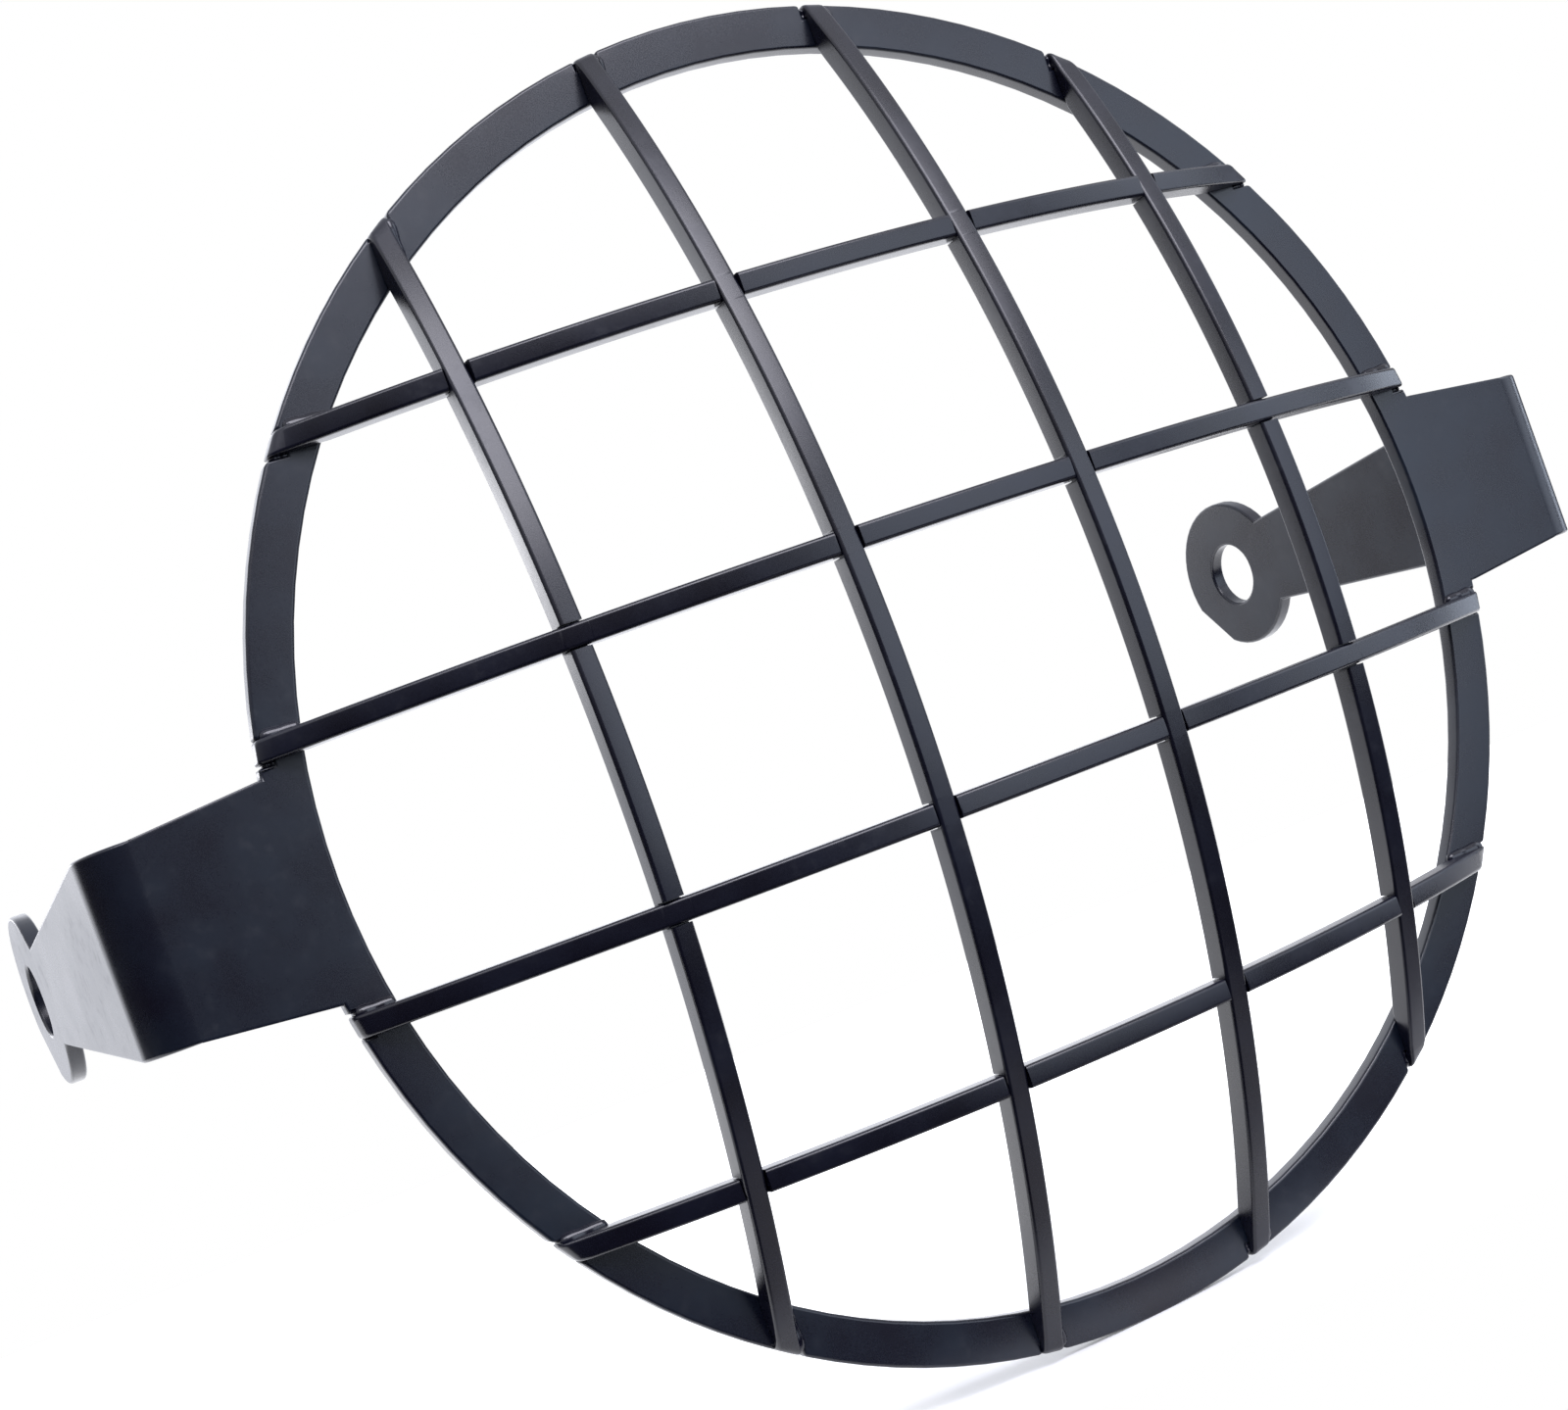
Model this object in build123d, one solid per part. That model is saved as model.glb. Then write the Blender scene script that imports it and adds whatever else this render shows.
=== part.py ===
from build123d import *
import os
from math import copysign, cos, radians, sin, sqrt

# Guard grille for a round headlamp: a flat ring plate with two arms bent back from it,
# and a dome of upright bars and cross bars that lap each other and stand on the ring's face.
# X runs across the lamp, Z is up and the dome faces -Y. The origin is the middle of the line
# through the two arm holes, which is the axis of the lamp's side bolts.

# Ring, a flat band of sheet steel
ring_outer_dia = 185.0
ring_band = 6.0
sheet = 2.5

# Arms, cut in one with the ring and bent back
arm_reach = 22.8            # ring's outer edge to the arm's outer face
arm_root_width = 29.0       # where the arm leaves the ring
arm_bend_width = 25.5       # along the bend
arm_neck_width = 15.0       # where the arm runs into its eyelet
bend_inner_radius = 4.0
hole_setback = 82.0         # ring's front face back to the arm holes
hole_dia = 11.0
eyelet_dia = 26.5
eyelet_flat_depth = 0.9     # small flat on the eyelet, behind and below its hole
eyelet_flat_angle = 41.0    # below the line straight back from the hole

# Bars, flat blanks cut to an arc of one common dome
bars_each_way = 4
bar_thickness = 3.0
bar_depth = 3.5
bar_pitch = 35.3
dome_height = 25.0          # bar fronts above the ring's face, at the middle
bar_end_height = 0.5        # bar fronts above the ring's face, at its outer edge
bar_end_round = 0.8         # edge over the bar's end

# Fits between bars, and between bars and ring
lap_side_clearance = 0.15
lap_floor_clearance = 0.1
notch_depth = 1.6           # notch in the ring's outer edge that takes a bar's end
notch_clearance = 0.4       # on the side nearer the ring's middle; the far side touches the bar

# Places that follow from the sizes above
ring_radius = ring_outer_dia / 2
ring_inner_radius = ring_radius - ring_band
ring_face_y = -hole_setback
arm_face_x = ring_radius + arm_reach
bend_outer_radius = bend_inner_radius + sheet
bend_start_x = arm_face_x - bend_outer_radius
dome_rise = dome_height - bar_end_height
dome_radius = (ring_radius**2 + dome_rise**2) / (2 * dome_rise)
bar_offsets = [(i - (bars_each_way - 1) / 2) * bar_pitch for i in range(bars_each_way)]


def dome_front(x, z):
    """Height of the dome's front above the ring's face."""
    return dome_height - dome_radius + sqrt(dome_radius**2 - x**2 - z**2)


def ring_edge(offset):
    """Half length of the ring's outer circle along a line at this offset from its centre."""
    return sqrt(ring_radius**2 - offset**2)


def layer(index):
    """0 for the two outermost bars of a family, 1 for the next pair in."""
    return min(index, bars_each_way - 1 - index)


def upright_in_front(upright, cross_bar):
    """The pairs are laid from the outside in, cross bars before uprights, each over the last."""
    return layer(upright) >= layer(cross_bar)


# Ring plate

def bar_notches():
    """Straight notches in the ring's outer edge, one for each end of each bar."""
    width = bar_thickness + notch_clearance
    notches = Sketch()
    for offset in bar_offsets:
        across = offset - copysign(notch_clearance / 2, offset)
        root = ring_edge(offset) - notch_depth
        length = ring_radius - root
        middle = root + length / 2
        for side in (-1, 1):
            notches += Pos(across, side * middle) * Rectangle(width, length)
            notches += Pos(side * middle, across) * Rectangle(length, width)
    return notches


def arm_front_outline(side):
    """Flat stretch of an arm, from inside the ring's band to the start of its bend."""
    root_half = arm_root_width / 2
    bend_half = arm_bend_width / 2
    root_x = ring_edge(root_half)
    inside_x = ring_radius - ring_band / 2
    upper = [(inside_x, root_half), (root_x, root_half), (bend_start_x, bend_half)]
    points = upper + [(x, -z) for x, z in reversed(upper)]
    return make_face(Polyline([(side * x, z) for x, z in points], close=True))


def arm_bend():
    """Quarter turn of the sheet between the front and the side of the right arm."""
    middle_y = ring_face_y + bend_outer_radius
    quarter = Pos(bend_outer_radius / 2, -bend_outer_radius / 2) * Rectangle(
        bend_outer_radius, bend_outer_radius
    )
    turn = (Circle(bend_outer_radius) - Circle(bend_inner_radius)) & quarter
    return extrude(Pos(bend_start_x, middle_y, 0) * turn, arm_bend_width / 2, both=True)


def arm_side():
    """Side plate of the right arm: a taper to the neck, then the eyelet and its hole."""
    eyelet_radius = eyelet_dia / 2
    neck_half = arm_neck_width / 2
    bend_half = arm_bend_width / 2
    start_y = ring_face_y + bend_outer_radius
    neck_y = -sqrt(eyelet_radius**2 - neck_half**2)
    upper = [(start_y, bend_half), (neck_y, neck_half), (0, neck_half)]
    points = upper + [(y, -z) for y, z in reversed(upper)]
    flat_out = eyelet_radius - eyelet_flat_depth
    flat_turn = radians(eyelet_flat_angle)
    flat = Pos(flat_out * cos(flat_turn), -flat_out * sin(flat_turn)) * Rot(0, 0, -eyelet_flat_angle)
    flat *= Rectangle(eyelet_radius, eyelet_dia, align=(Align.MIN, Align.CENTER))
    outline = make_face(Polyline(points, close=True)) + Circle(eyelet_radius) - flat
    outline -= Circle(hole_dia / 2)
    return extrude(Plane.YZ.offset(arm_face_x) * outline, -sheet)


def ring_plate():
    flat = Circle(ring_radius) - Circle(ring_inner_radius)
    flat += arm_front_outline(1) + arm_front_outline(-1)
    flat -= bar_notches()
    face = Plane(origin=(0, ring_face_y, 0), x_dir=(1, 0, 0), z_dir=(0, -1, 0))
    right_arm = arm_bend() + arm_side()
    return extrude(face * flat, -sheet) + right_arm + mirror(right_arm, about=Plane.YZ)


# Bars

def bar_outline(offset):
    """Side view of a bar before lapping: along the bar, and forward of the ring's face."""
    arc_radius = sqrt(dome_radius**2 - offset**2)
    arc_centre = Pos(0, dome_height - dome_radius)
    tab_root = ring_edge(offset) - notch_depth + notch_clearance
    tab_length = ring_radius - tab_root
    tab_middle = tab_root + tab_length / 2
    blank_height = dome_height + bar_depth
    outline = Pos(0, blank_height / 2) * Rectangle(ring_outer_dia, blank_height)
    outline -= arc_centre * Circle(arc_radius - bar_depth)
    for side in (-1, 1):
        outline += Pos(side * tab_middle, -sheet / 2) * Rectangle(tab_length, sheet)
    return outline & arc_centre * Circle(arc_radius)


def lap_slot(along, offset, in_front):
    """Slot for a crossing bar: cut from the rear in the bar that passes in front."""
    width = bar_thickness + 2 * lap_side_clearance
    height = 2 * bar_depth
    floor = dome_front(along, offset) - bar_depth / 2
    if in_front:
        middle = floor + lap_floor_clearance / 2 - height / 2
    else:
        middle = floor - lap_floor_clearance / 2 + height / 2
    return Pos(along, middle) * Rectangle(width, height)


def finish_bar(plane, outline):
    """The blank, trimmed to the ring's outer edge and rounded over its two ends."""
    blank = extrude(plane * outline, bar_thickness / 2, both=True)
    reach = dome_height + sheet
    rim = Pos(0, ring_face_y, 0) * Rot(90, 0, 0) * Cylinder(ring_radius, 2 * reach)
    bar = (blank & rim).solid()
    end_faces = bar.faces().filter_by(GeomType.CYLINDER).filter_by(is_bar_end)
    ends = [face.edges().sort_by(Axis.Y)[0] for face in end_faces]
    return fillet(ends, bar_end_round)


def is_bar_end(face):
    """True for the faces that lie on the ring's outer edge."""
    middle = face.center()
    return abs(face.radius - ring_radius) < sheet and abs(middle.Y - ring_face_y) < sheet


def upright(index):
    x = bar_offsets[index]
    outline = bar_outline(x)
    for other, z in enumerate(bar_offsets):
        cross_index = bars_each_way - 1 - other
        outline -= lap_slot(z, x, upright_in_front(index, cross_index))
    return finish_bar(Plane(origin=(x, ring_face_y, 0), x_dir=(0, 0, 1), z_dir=(1, 0, 0)), outline)


def cross_bar(index):
    z = bar_offsets[bars_each_way - 1 - index]
    outline = bar_outline(z)
    for other, x in enumerate(bar_offsets):
        outline -= lap_slot(x, z, not upright_in_front(other, index))
    return finish_bar(Plane(origin=(0, ring_face_y, z), x_dir=(1, 0, 0), z_dir=(0, 0, -1)), outline)


# Pieces, one file each

os.makedirs("parts", exist_ok=True)
export_step(ring_plate(), "parts/ring_plate.step")
for index in range(bars_each_way):
    export_step(upright(index), f"parts/upright_{index + 1}.step")
    export_step(cross_bar(index), f"parts/cross_bar_{index + 1}.step")
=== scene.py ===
from math import copysign, cos, exp, pi, radians, sin, sqrt

import bmesh
import bpy
from mathutils import Matrix, Vector


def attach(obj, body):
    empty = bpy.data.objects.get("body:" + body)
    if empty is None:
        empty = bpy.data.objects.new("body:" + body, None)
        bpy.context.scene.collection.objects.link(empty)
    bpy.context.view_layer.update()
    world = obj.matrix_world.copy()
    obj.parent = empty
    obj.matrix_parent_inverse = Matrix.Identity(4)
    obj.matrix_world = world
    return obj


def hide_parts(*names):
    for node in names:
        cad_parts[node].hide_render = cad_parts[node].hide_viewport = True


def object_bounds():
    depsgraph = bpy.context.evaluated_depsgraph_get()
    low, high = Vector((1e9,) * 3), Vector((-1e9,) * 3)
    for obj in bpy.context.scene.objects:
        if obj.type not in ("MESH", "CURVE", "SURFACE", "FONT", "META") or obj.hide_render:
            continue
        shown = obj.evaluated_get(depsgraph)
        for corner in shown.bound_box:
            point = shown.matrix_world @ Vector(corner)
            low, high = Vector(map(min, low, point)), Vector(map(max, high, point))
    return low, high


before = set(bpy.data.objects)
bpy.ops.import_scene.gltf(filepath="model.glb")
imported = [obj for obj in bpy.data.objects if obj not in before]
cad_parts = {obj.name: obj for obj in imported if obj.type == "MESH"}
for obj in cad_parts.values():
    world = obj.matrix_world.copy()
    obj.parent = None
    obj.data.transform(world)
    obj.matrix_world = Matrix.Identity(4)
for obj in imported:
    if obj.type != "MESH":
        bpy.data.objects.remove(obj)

cad_box = [list(corner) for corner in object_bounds()]

# Ring plate
# A flat ring of sheet steel with two arms cut in one with it, bent back and drilled for the lamp's
# side bolts. The whole guard is sprayed with one coat of satin black powder and baked.
mm = 0.001
sheet_edge_round = 0.45 * mm
satin = 0.28


class Socket:
    """A socket of a shader. Sums on it add Math nodes, and node() adds any other kind of node."""

    def __init__(self, tree, socket):
        self.tree = tree
        self.socket = socket

    @classmethod
    def node(cls, tree, kind, settings=None, inputs=None, output=0):
        """Adds a node: its settings first, then the value or the link of each socket."""
        new = tree.nodes.new(kind)
        for name, value in (settings or {}).items():
            setattr(new, name, value)
        for name, value in (inputs or {}).items():
            if isinstance(name, int):
                place = new.inputs[name]
            else:
                place = next(i for i in new.inputs if i.name == name and i.enabled)
            cls.join(tree, place, value)
        return cls(tree, new.outputs[output])

    @classmethod
    def join(cls, tree, place, value):
        """Links a socket to an input, or sets the input to a plain value."""
        if isinstance(value, cls):
            tree.links.new(value.socket, place)
        else:
            place.default_value = value

    def sum(self, operation, first, second):
        return self.node(self.tree, "ShaderNodeMath", {"operation": operation}, {0: first, 1: second})

    def __add__(self, other):
        return self.sum("ADD", self, other)

    def __radd__(self, other):
        return self.sum("ADD", other, self)

    def __sub__(self, other):
        return self.sum("SUBTRACT", self, other)

    def __rsub__(self, other):
        return self.sum("SUBTRACT", other, self)

    def __mul__(self, other):
        return self.sum("MULTIPLY", self, other)

    def __rmul__(self, other):
        return self.sum("MULTIPLY", other, self)


def ramp(tree, value, low, high, at_low=0.0, at_high=1.0, kind="LINEAR"):
    """Climbs from at_low to at_high while the value goes from low to high."""
    return Socket.node(
        tree,
        "ShaderNodeMapRange",
        {"interpolation_type": kind},
        {"Value": value, "From Min": low, "From Max": high, "To Min": at_low, "To Max": at_high},
    )


def mix_colours(tree, share, first, second):
    """A colour between two, by the share of the second."""
    return Socket.node(
        tree,
        "ShaderNodeMix",
        {"data_type": "RGBA"},
        {"Factor": share, "A": first, "B": second},
        output=2,
    )


def black_paint(name, deep, thin, scuffed, roughness):
    """Satin black powder coat: orange peel, fine grain, patches of thin coat and faint scuffs."""
    patches_per_metre = 90.0
    scuffs_per_metre = 560.0
    peel_per_metre = 900.0
    grain_per_metre = 2600.0
    noise_middle = 0.5
    thin_from, thin_full = 0.32, 0.68
    worn_from, worn_full = 0.48, 0.58
    scuff_from, scuff_full = 0.52, 0.72
    patch_share = 0.75
    scuff_share = 0.35
    peel_share = 0.8
    patch_dulling = 0.10
    grain_dulling = 0.05
    scuff_dulling = 0.05
    relief_strength = 0.2
    relief_depth = 0.02 * mm
    paint_ior = 1.5
    material = bpy.data.materials.new(name)
    material.use_nodes = True
    tree = material.node_tree
    shader = tree.nodes["Principled BSDF"]
    place = Socket.node(tree, "ShaderNodeTexCoord", output=3)

    def noise(scale, detail):
        return Socket.node(
            tree, "ShaderNodeTexNoise", inputs={"Vector": place, "Scale": scale, "Detail": detail}
        )

    patches = noise(patches_per_metre, detail=3.0)
    grain = noise(grain_per_metre, detail=2.0)
    peel = noise(peel_per_metre, detail=1.0)
    worn = ramp(tree, patches, worn_from, worn_full)
    scuffs = ramp(tree, noise(scuffs_per_metre, detail=3.0), scuff_from, scuff_full) * worn
    coat = ramp(tree, patches, thin_from, thin_full) * patch_share + grain * (1 - patch_share)
    colour = mix_colours(tree, scuffs * scuff_share, mix_colours(tree, coat, deep, thin), scuffed)
    dull = (
        roughness
        + (patches - noise_middle) * patch_dulling
        + (grain - noise_middle) * grain_dulling
        + scuffs * scuff_dulling
    )
    relief = Socket.node(
        tree,
        "ShaderNodeBump",
        inputs={
            "Strength": relief_strength,
            "Distance": relief_depth,
            "Height": peel * peel_share + grain * (1 - peel_share),
        },
    )
    Socket.join(tree, shader.inputs["Base Color"], colour)
    Socket.join(tree, shader.inputs["Roughness"], dull)
    Socket.join(tree, shader.inputs["Normal"], relief)
    shader.inputs["IOR"].default_value = paint_ior
    return material


def soften_edges(piece, radius):
    """The coat flows round a cut edge, so no edge of the steel is sharp."""
    joined = piece.modifiers.new("joined faces", "WELD")
    joined.merge_threshold = 0.002 * mm
    rounded = piece.modifiers.new("rounded edges", "BEVEL")
    rounded.width = radius
    rounded.segments = 4
    rounded.use_clamp_overlap = False
    rounded.limit_method = "ANGLE"
    rounded.angle_limit = radians(30)
    piece.modifiers.new("smooth shading", "WEIGHTED_NORMAL")


sheet_paint = black_paint(
    "sheet paint",
    deep=(0.002, 0.001, 0.006, 1),
    thin=(0.005, 0.009, 0.018, 1),
    scuffed=(0.014, 0.015, 0.022, 1),
    roughness=satin,
)
ring_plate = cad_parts["ring_plate"]
ring_plate.data.materials.clear()
ring_plate.data.materials.append(sheet_paint)
soften_edges(ring_plate, sheet_edge_round)

# Uprights and cross bars
# Eight flat steel blanks 3 mm thick, each cut to an arc of one dome and half lapped where they cross.
# They lie on the ring's face, with a short tab at each end in a notch of its edge. The coat rounds
# the long edges and leaves the laps crisp.
ring_radius = 92.5 * mm
ring_face = -82.0 * mm
ring_sheet = 2.5 * mm
dome_height = 25.0 * mm
bar_end_height = 0.5 * mm
dome_rise = dome_height - bar_end_height
dome_radius = (ring_radius**2 + dome_rise**2) / (2 * dome_rise)
bars_each_way = 4
bar_pitch = 35.3 * mm
bar_offsets = [(i - (bars_each_way - 1) / 2) * bar_pitch for i in range(bars_each_way)]
bar_half = 1.5 * mm
bar_depth = 3.5 * mm
lap_half = bar_half + 0.15 * mm
lap_wall = 0.02 * mm
lap_gap = 0.1 * mm
lap_edge_round = 0.05 * mm
front_edge_round = 0.5 * mm
back_edge_round = 0.35 * mm
end_round = 0.8 * mm
end_corner_round = 0.4 * mm
tab_round = 0.5 * mm
least_end_height = 0.9 * mm
end_zone = 2.4 * mm
end_steps = (0.30, 0.32, 0.50, 0.66, 0.76, 0.85, 0.92, 0.97, 1.0)
tab_step = 0.32
half_body_steps = 45
corner_points = 4
corner_turn = 30
sharp_angle = radians(50)
bar_colours = ((0.001, 0.0005, 0.004, 1), (0.005, 0.006, 0.015, 1), (0.012, 0.013, 0.02, 1))
bar_paint = black_paint("bar paint", *bar_colours, satin)


def ring_edge(offset):
    """Half length of the ring's outer circle along a line at this offset from its middle."""
    return sqrt(ring_radius**2 - offset**2)


def arc_height(along, offset, depth):
    """Height above the ring's face of the arc that lies this deep in a bar."""
    curve = sqrt(dome_radius**2 - offset**2) - depth
    return max(0.0, dome_height - dome_radius + sqrt(curve**2 - along**2))


def round_over(distance, radius):
    """How far a rounded edge has dropped at this distance from its end."""
    if distance >= radius:
        return 0.0
    return radius - sqrt(radius**2 - (radius - distance) ** 2)


def layer(index):
    """0 for the two outermost bars of a family, 1 for the pair inside them."""
    return min(index, bars_each_way - 1 - index)


def bar_section(front, back, half, front_round):
    """Outline across a bar, front corners first: (across, height)."""
    corners = (
        (-half + front_round, front - front_round, front_round, 180),
        (half - front_round, front - front_round, front_round, 90),
        (half - back_edge_round, back + back_edge_round, back_edge_round, 0),
        (-half + back_edge_round, back + back_edge_round, back_edge_round, -90),
    )
    outline = []
    for across, height, radius, start in corners:
        for step in range(corner_points):
            turn = radians(start - corner_turn * step)
            outline.append((across + radius * cos(turn), height + radius * sin(turn)))
    return outline


def bar_body(offset, laps):
    """Sections from one end of the arc to the other; a lap takes half the depth away."""
    reach = ring_edge(offset) - end_zone
    places = [reach * (step / half_body_steps - 1) for step in range(2 * half_body_steps + 1)]
    for lap, _ in laps:
        for side in (-1, 1):
            places.append(lap + side * lap_half)
            places.append(lap + side * (lap_half + lap_wall))
    sections = []
    for along in sorted(places):
        front = arc_height(along, offset, 0.0)
        back = arc_height(along, offset, bar_depth)
        front_round = front_edge_round
        for lap, in_front in laps:
            if abs(along - lap) < lap_half + lap_wall / 2:
                lap_floor = arc_height(lap, offset, 0.0) - bar_depth / 2
                if in_front:
                    back = lap_floor + lap_gap / 2
                else:
                    front = lap_floor - lap_gap / 2
                    front_round = lap_edge_round
        outline = bar_section(front, back, bar_half, front_round)
        sections.append([(along, across, height) for across, height in outline])
    return sections


def bar_end(offset, side):
    """Sections over one end, which follows the ring's edge and drops its tab into the notch."""
    start = ring_edge(offset) - end_zone
    sections = []
    for step in end_steps:
        half = bar_half - round_over((1 - step) * end_zone, end_corner_round)
        along = start + step * end_zone
        front = arc_height(along, offset, 0.0)
        back = -ring_sheet if step >= tab_step else arc_height(along, offset, bar_depth)
        top = max(front, back + least_end_height)
        section = []
        for across, height in bar_section(top, back, half, front_edge_round):
            stop = ring_edge(offset + across)
            place = start + step * (stop - start)
            if height > (front + back) / 2:
                height -= round_over(stop - place, end_round)
            elif step >= tab_step:
                height += round_over(stop - place, tab_round)
            section.append((side * place, across, height))
        sections.append(section)
    return sections


def skin_over(skin, rings):
    """Faces from each ring of points to the next, and a flat cap at both ends."""
    for ring, following in zip(rings, rings[1:]):
        for i in range(len(ring)):
            skin.faces.new((ring[i - 1], ring[i], following[i], following[i - 1]))
    skin.faces.new(rings[0])
    skin.faces.new(rings[-1])


def smooth_out(skin):
    """Turns every face outward and shades it smooth."""
    bmesh.ops.recalc_face_normals(skin, faces=skin.faces)
    for face in skin.faces:
        face.smooth = True


def coated_piece(name, skin, paint):
    """The finished skin as an object with its coat."""
    mesh = bpy.data.meshes.new(name)
    skin.to_mesh(mesh)
    skin.free()
    mesh.materials.append(paint)
    piece = bpy.data.objects.new(name, mesh)
    bpy.context.scene.collection.objects.link(piece)
    return piece


def bar_piece(name, offset, laps, place):
    """One bar as a closed skin. place() turns (along, across, height) into a point."""
    sections = bar_end(offset, -1)[::-1] + bar_body(offset, laps) + bar_end(offset, 1)
    skin = bmesh.new()
    skin_over(skin, [[skin.verts.new(place(*point)) for point in section] for section in sections])
    smooth_out(skin)
    for edge in skin.edges:
        edge.smooth = edge.calc_face_angle() < sharp_angle
    bar = coated_piece(name, skin, bar_paint)
    bar.modifiers.new("smooth shading", "WEIGHTED_NORMAL").keep_sharp = True
    return bar


for i, x in enumerate(bar_offsets):
    upright = bar_piece(
        f"upright_bar_{i + 1}",
        x,
        [(z, layer(i) >= layer(k)) for k, z in enumerate(bar_offsets)],
        lambda along, across, height: (x + across, ring_face - height, along),
    )
    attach(upright, "root")
    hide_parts(f"upright_{i + 1}")
for i, z in enumerate(reversed(bar_offsets)):
    cross_bar = bar_piece(
        f"cross_bar_piece_{i + 1}",
        z,
        [(x, layer(i) > layer(k)) for k, x in enumerate(bar_offsets)],
        lambda along, across, height: (along, ring_face - height, z + across),
    )
    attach(cross_bar, "root")
    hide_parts(f"cross_bar_{i + 1}")

# Weld beads
# Each bar end is welded to the ring along one side, uprights on the right and cross bars on top, and
# the gap in its notch is filled to just short of the ring's edge. The beads are left as laid and
# coated with the rest.
ring_inner_radius = 86.5 * mm
notch_depth = 1.6 * mm
notch_gap = 0.4 * mm
bead_leg = 0.95 * mm
bead_throat = 0.7 * mm
bead_inner_margin = 0.1 * mm
bead_outer_margin = 0.5 * mm
fill_half_width = 1.2 * notch_gap
fill_half_height = 0.475 * ring_sheet
fill_bite = 0.5 * mm
bead_sides = 16
bead_steps = 24
bead_tip = 0.02
taper_power = 8
ripples = 3
ripple_height = 0.03
swell_place = 0.8
swell_spread = 0.12
swell_height = 0.15
bead_gloss = 0.17
weld_paint = black_paint("weld paint", *bar_colours, bead_gloss)
beads = bmesh.new()


def lay_bead(start, stop, across, height, half_width, half_height, place):
    """A run of weld metal along a bar, fuller where it was started and tapered at both ends."""
    rings = []
    for step in range(bead_steps + 1):
        share = step / bead_steps
        taper = sqrt(max(bead_tip, 1 - abs(2 * share - 1) ** taper_power))
        ripple = ripple_height * cos(2 * pi * ripples * share)
        swell = swell_height * exp(-(((share - swell_place) / swell_spread) ** 2))
        size = taper * (1 + ripple + swell)
        along = start + share * (stop - start)
        ring = []
        for k in range(bead_sides):
            turn = 2 * pi * k / bead_sides
            out = across + half_width * size * cos(turn)
            up = height + half_height * size * sin(turn)
            ring.append(beads.verts.new(place(along, out, up)))
        rings.append(ring)
    skin_over(beads, rings)


for offset in bar_offsets:
    side = offset + bar_half
    near = sqrt(ring_inner_radius**2 - side**2) + bead_inner_margin
    far = min(ring_edge(side), ring_edge(side + bead_leg)) - bead_outer_margin
    gap = -copysign(bar_half + notch_gap / 2, offset)
    root = ring_edge(offset) - notch_depth - fill_bite
    mouth = ring_edge(offset + gap) - bead_outer_margin
    for end in (-1, 1):
        for place in (
            lambda along, across, height: (offset + across, ring_face - height, end * along),
            lambda along, across, height: (end * along, ring_face - height, offset + across),
        ):
            lay_bead(near, far, bar_half, 0.0, bead_leg, bead_throat, place)
            lay_bead(root, mouth, gap, -ring_sheet / 2, fill_half_width, fill_half_height, place)
smooth_out(beads)
weld_beads = coated_piece("weld_beads", beads, weld_paint)
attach(weld_beads, "root")

# Floor
# A white paper sheet on a table top, which the guard touches at the foot of its ring. The sheet fades
# out just in front of the ring, where the dark room begins. Round the foot its glow is dimmed, a
# painted shade seen by the camera and in the guard's reflections, with the real shadow showing through
# it.
floor_level = cad_box[0][2]
floor_left, floor_right = -0.5, 0.6
floor_front, floor_back = -0.106, 0.4
fade_depth = 0.014
foot = (0.0, -0.085, floor_level)
# Painted shade: the paper's glow falls to shade_white at the foot and is full again past shade_far.
shade_near, shade_far = 0.03, 0.11
shade_white = 0.15
black, pure_white = (0, 0, 0, 1), (1, 1, 1, 1)
floor_mesh = bpy.data.meshes.new("floor")
floor_mesh.from_pydata(
    [
        (floor_left, floor_front, floor_level),
        (floor_right, floor_front, floor_level),
        (floor_right, floor_back, floor_level),
        (floor_left, floor_back, floor_level),
    ],
    [],
    [(0, 1, 2, 3)],
)
floor = bpy.data.objects.new("floor", floor_mesh)
bpy.context.scene.collection.objects.link(floor)
white_paper = bpy.data.materials.new("white paper")
white_paper.use_nodes = True
paper_tree = white_paper.node_tree
paper_shader = paper_tree.nodes["Principled BSDF"]
paper_place = Socket.node(paper_tree, "ShaderNodeTexCoord", output=3)
foot_distance = Socket.node(
    paper_tree,
    "ShaderNodeVectorMath",
    {"operation": "DISTANCE"},
    {0: paper_place, 1: foot},
    output=1,
)
# Painted shade: the paper's glow is dimmed round the foot, for the camera and for reflections alike.
paper_white_and_painted_foot_shade = ramp(paper_tree, foot_distance, shade_near, shade_far, at_low=shade_white)
paper_depth = Socket.node(paper_tree, "ShaderNodeSeparateXYZ", inputs={"Vector": paper_place}, output=1)
paper_fade = ramp(paper_tree, paper_depth, floor_front, floor_front + fade_depth, kind="SMOOTHSTEP")
seen = Socket.node(paper_tree, "ShaderNodeLightPath")
mirrored = Socket.node(paper_tree, "ShaderNodeLightPath", output=3)
paper_glow = mix_colours(paper_tree, (seen + mirrored) * paper_white_and_painted_foot_shade, black, pure_white)
Socket.join(paper_tree, paper_shader.inputs["Emission Color"], paper_glow)
Socket.join(paper_tree, paper_shader.inputs["Alpha"], paper_fade)
paper_shader.inputs["Emission Strength"].default_value = 1.0
paper_shader.inputs["Base Color"].default_value = (0.8, 0.8, 0.8, 1)
paper_shader.inputs["Roughness"].default_value = 0.9
paper_shader.inputs["Specular IOR Level"].default_value = 0.0
floor_mesh.materials.append(white_paper)

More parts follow.
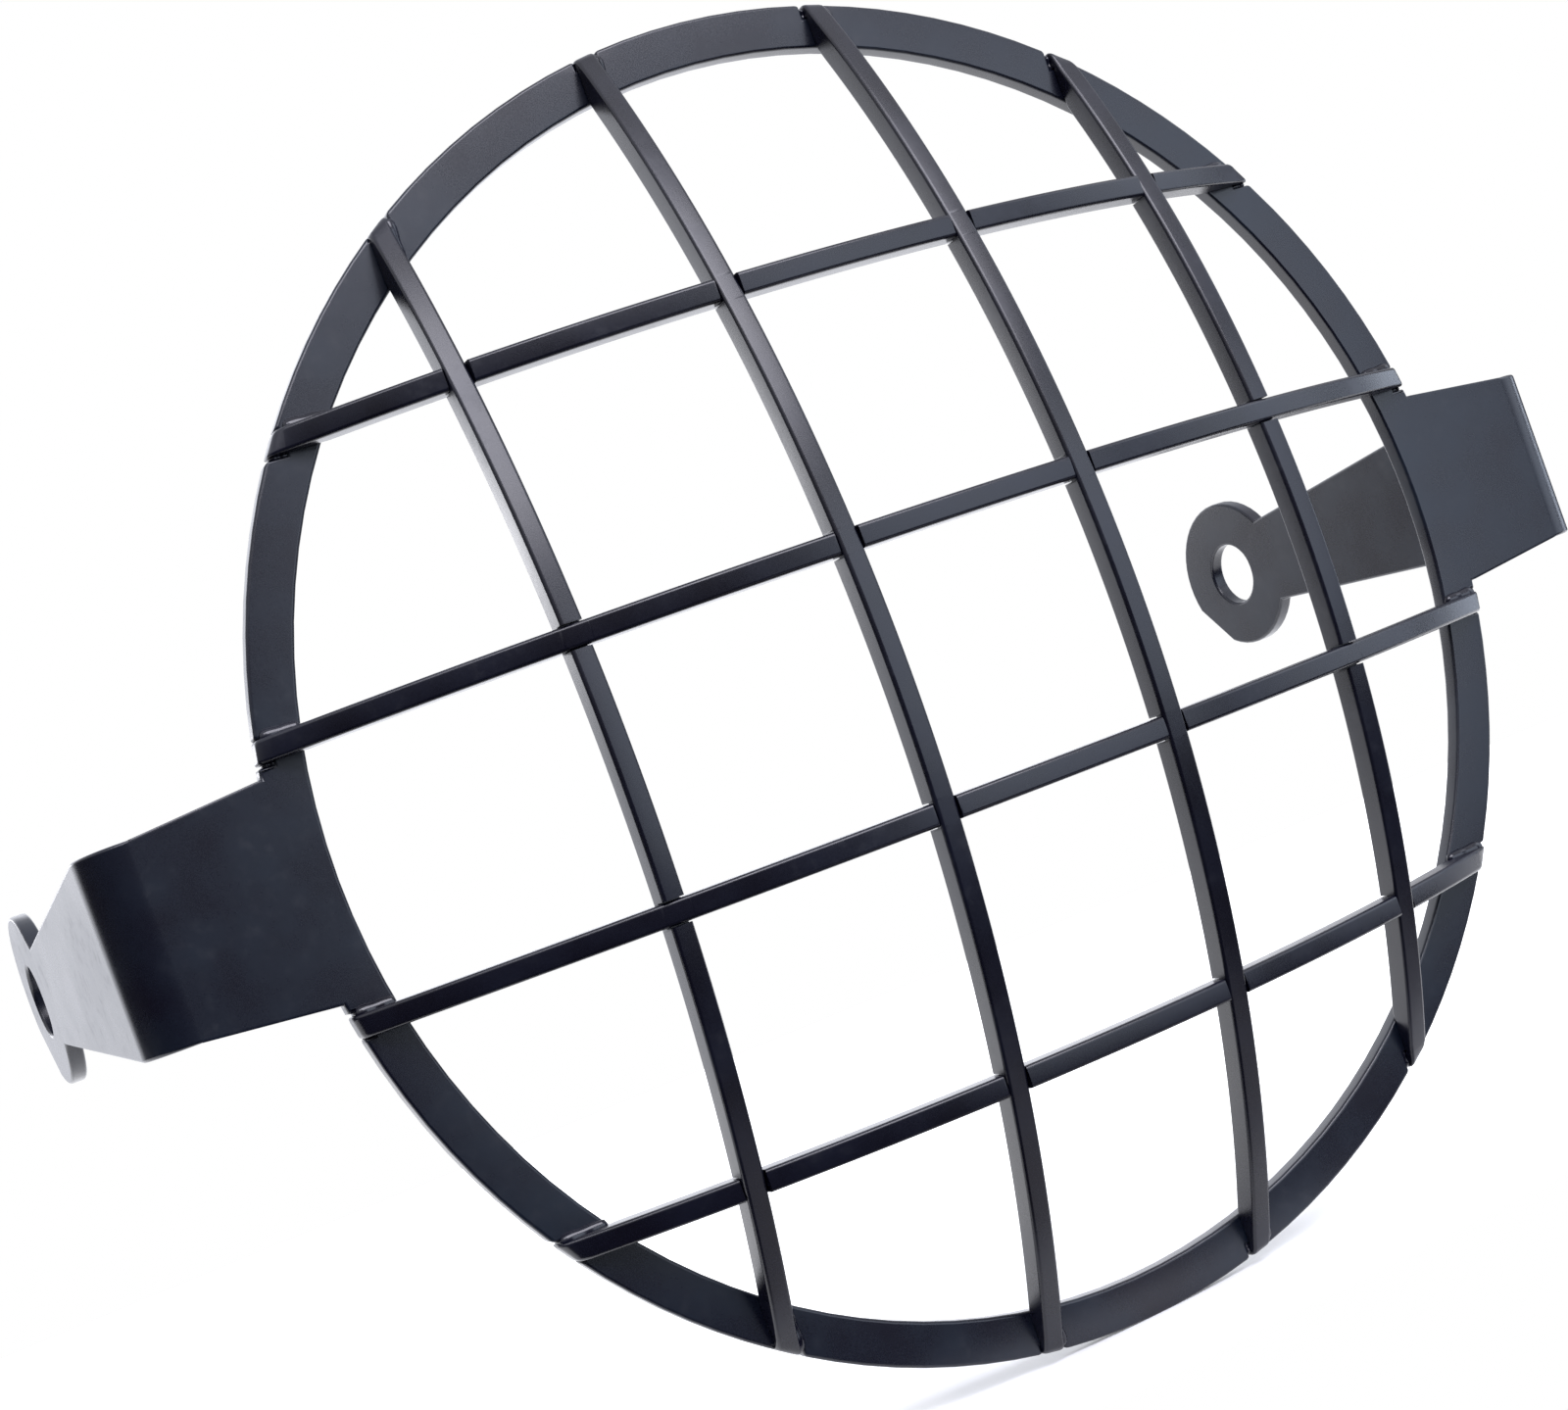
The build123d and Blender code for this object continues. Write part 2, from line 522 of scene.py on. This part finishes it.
# Light
# A white wall behind and a pale ceiling in a dark room. Soft panels stand in front, at the right and
# behind at the right, with two lamps above the front, a small strip behind at the left and a weak
# panel low in front, where the table top gives some light back.
room_tint = (0.96, 0.98, 1.06, 1)
room_strength = 0.045
wall_from, wall_full, wall_strength = 0.73, 0.84, 1.65
ceiling_from, ceiling_full = 0.05, 0.62
lit_point = Vector((0.0, -0.09, 0.0))
world = bpy.data.worlds.new("white wall and dark room")
bpy.context.scene.world = world
world.use_nodes = True
world_tree = world.node_tree
background = world_tree.nodes["Background"]
looked_at = Socket.node(world_tree, "ShaderNodeLightPath")
world_colour = mix_colours(world_tree, looked_at, room_tint, pure_white)
Socket.join(world_tree, background.inputs["Color"], world_colour)
way = Socket.node(world_tree, "ShaderNodeTexCoord")
way_depth = Socket.node(world_tree, "ShaderNodeSeparateXYZ", inputs={"Vector": way}, output=1)
way_rise = Socket.node(world_tree, "ShaderNodeSeparateXYZ", inputs={"Vector": way}, output=2)
wall = ramp(world_tree, way_depth, wall_from, wall_full, at_high=wall_strength, kind="SMOOTHSTEP")
ceiling = ramp(world_tree, way_rise, ceiling_from, ceiling_full, kind="SMOOTHSTEP")
Socket.join(
    world_tree,
    background.inputs["Strength"],
    looked_at + (1 - looked_at) * (wall + ceiling + room_strength),
)


def soft_lamp(name, colour, brightness, heading, rise, distance, width, height):
    """A flat panel that faces the guard. A brightness of 1 is white paper."""
    way_out = Vector((
        sin(radians(heading)) * cos(radians(rise)),
        -cos(radians(heading)) * cos(radians(rise)),
        sin(radians(rise)),
    ))
    panel = bpy.data.lights.new(name, "AREA")
    panel.shape = "RECTANGLE"
    panel.size = width
    panel.size_y = height
    panel.energy = brightness * pi * width * height
    panel.color = colour
    lamp = bpy.data.objects.new(name, panel)
    lamp.location = lit_point + way_out * distance
    lamp.rotation_euler = (-way_out).to_track_quat("-Z", "Y").to_euler()
    lamp.visible_camera = False
    bpy.context.scene.collection.objects.link(lamp)


cool, neutral, clear = (0.87, 0.97, 1.15), (0.97, 0.96, 1.08), (0.99, 0.99, 1.03)
soft_lamp("front panel", cool, 2.1, heading=31, rise=5, distance=1.0, width=0.62, height=0.56)
soft_lamp("right panel", cool, 1.5, heading=70, rise=12, distance=1.0, width=0.50, height=0.79)
soft_lamp("side panel", cool, 3.2, heading=98, rise=0, distance=1.0, width=0.16, height=0.36)
soft_lamp("back panel", clear, 0.5, heading=148, rise=0, distance=1.0, width=0.80, height=0.60)
soft_lamp("high lamp", neutral, 7.4, heading=15, rise=42, distance=0.9, width=0.58, height=0.45)
soft_lamp("high left lamp", neutral, 6.0, heading=-21, rise=46, distance=0.9, width=0.44, height=0.26)
soft_lamp("back strip", clear, 5.7, heading=-158, rise=9.5, distance=1.0, width=0.24, height=0.11)
soft_lamp("low panel", neutral, 0.7, heading=38, rise=-48, distance=0.9, width=0.66, height=0.34)

# Camera
# Close in at the front left, level with the guard's middle and rolled clockwise, with the frame
# shifted up and to the right as the photograph is cut.
camera_place = (-0.15701, -0.35816, -0.00714)
heading, tilt, roll = radians(20.96), radians(-1.31), radians(-20.12)
camera_data = bpy.data.cameras.new("camera")
camera_data.lens = 53.57
camera_data.sensor_width = 36.0
camera_data.shift_x = 0.096
camera_data.shift_y = 0.119
camera_data.clip_start = 0.01
camera = bpy.data.objects.new("camera", camera_data)
bpy.context.scene.collection.objects.link(camera)
camera.matrix_world = Matrix.Translation(camera_place) @ (
    Matrix.Rotation(-heading, 4, "Z")
    @ Matrix.Rotation(radians(90) + tilt, 4, "X")
    @ Matrix.Rotation(roll, 4, "Z")
)
bpy.context.scene.camera = camera
bpy.context.scene.view_settings.view_transform = "Standard"
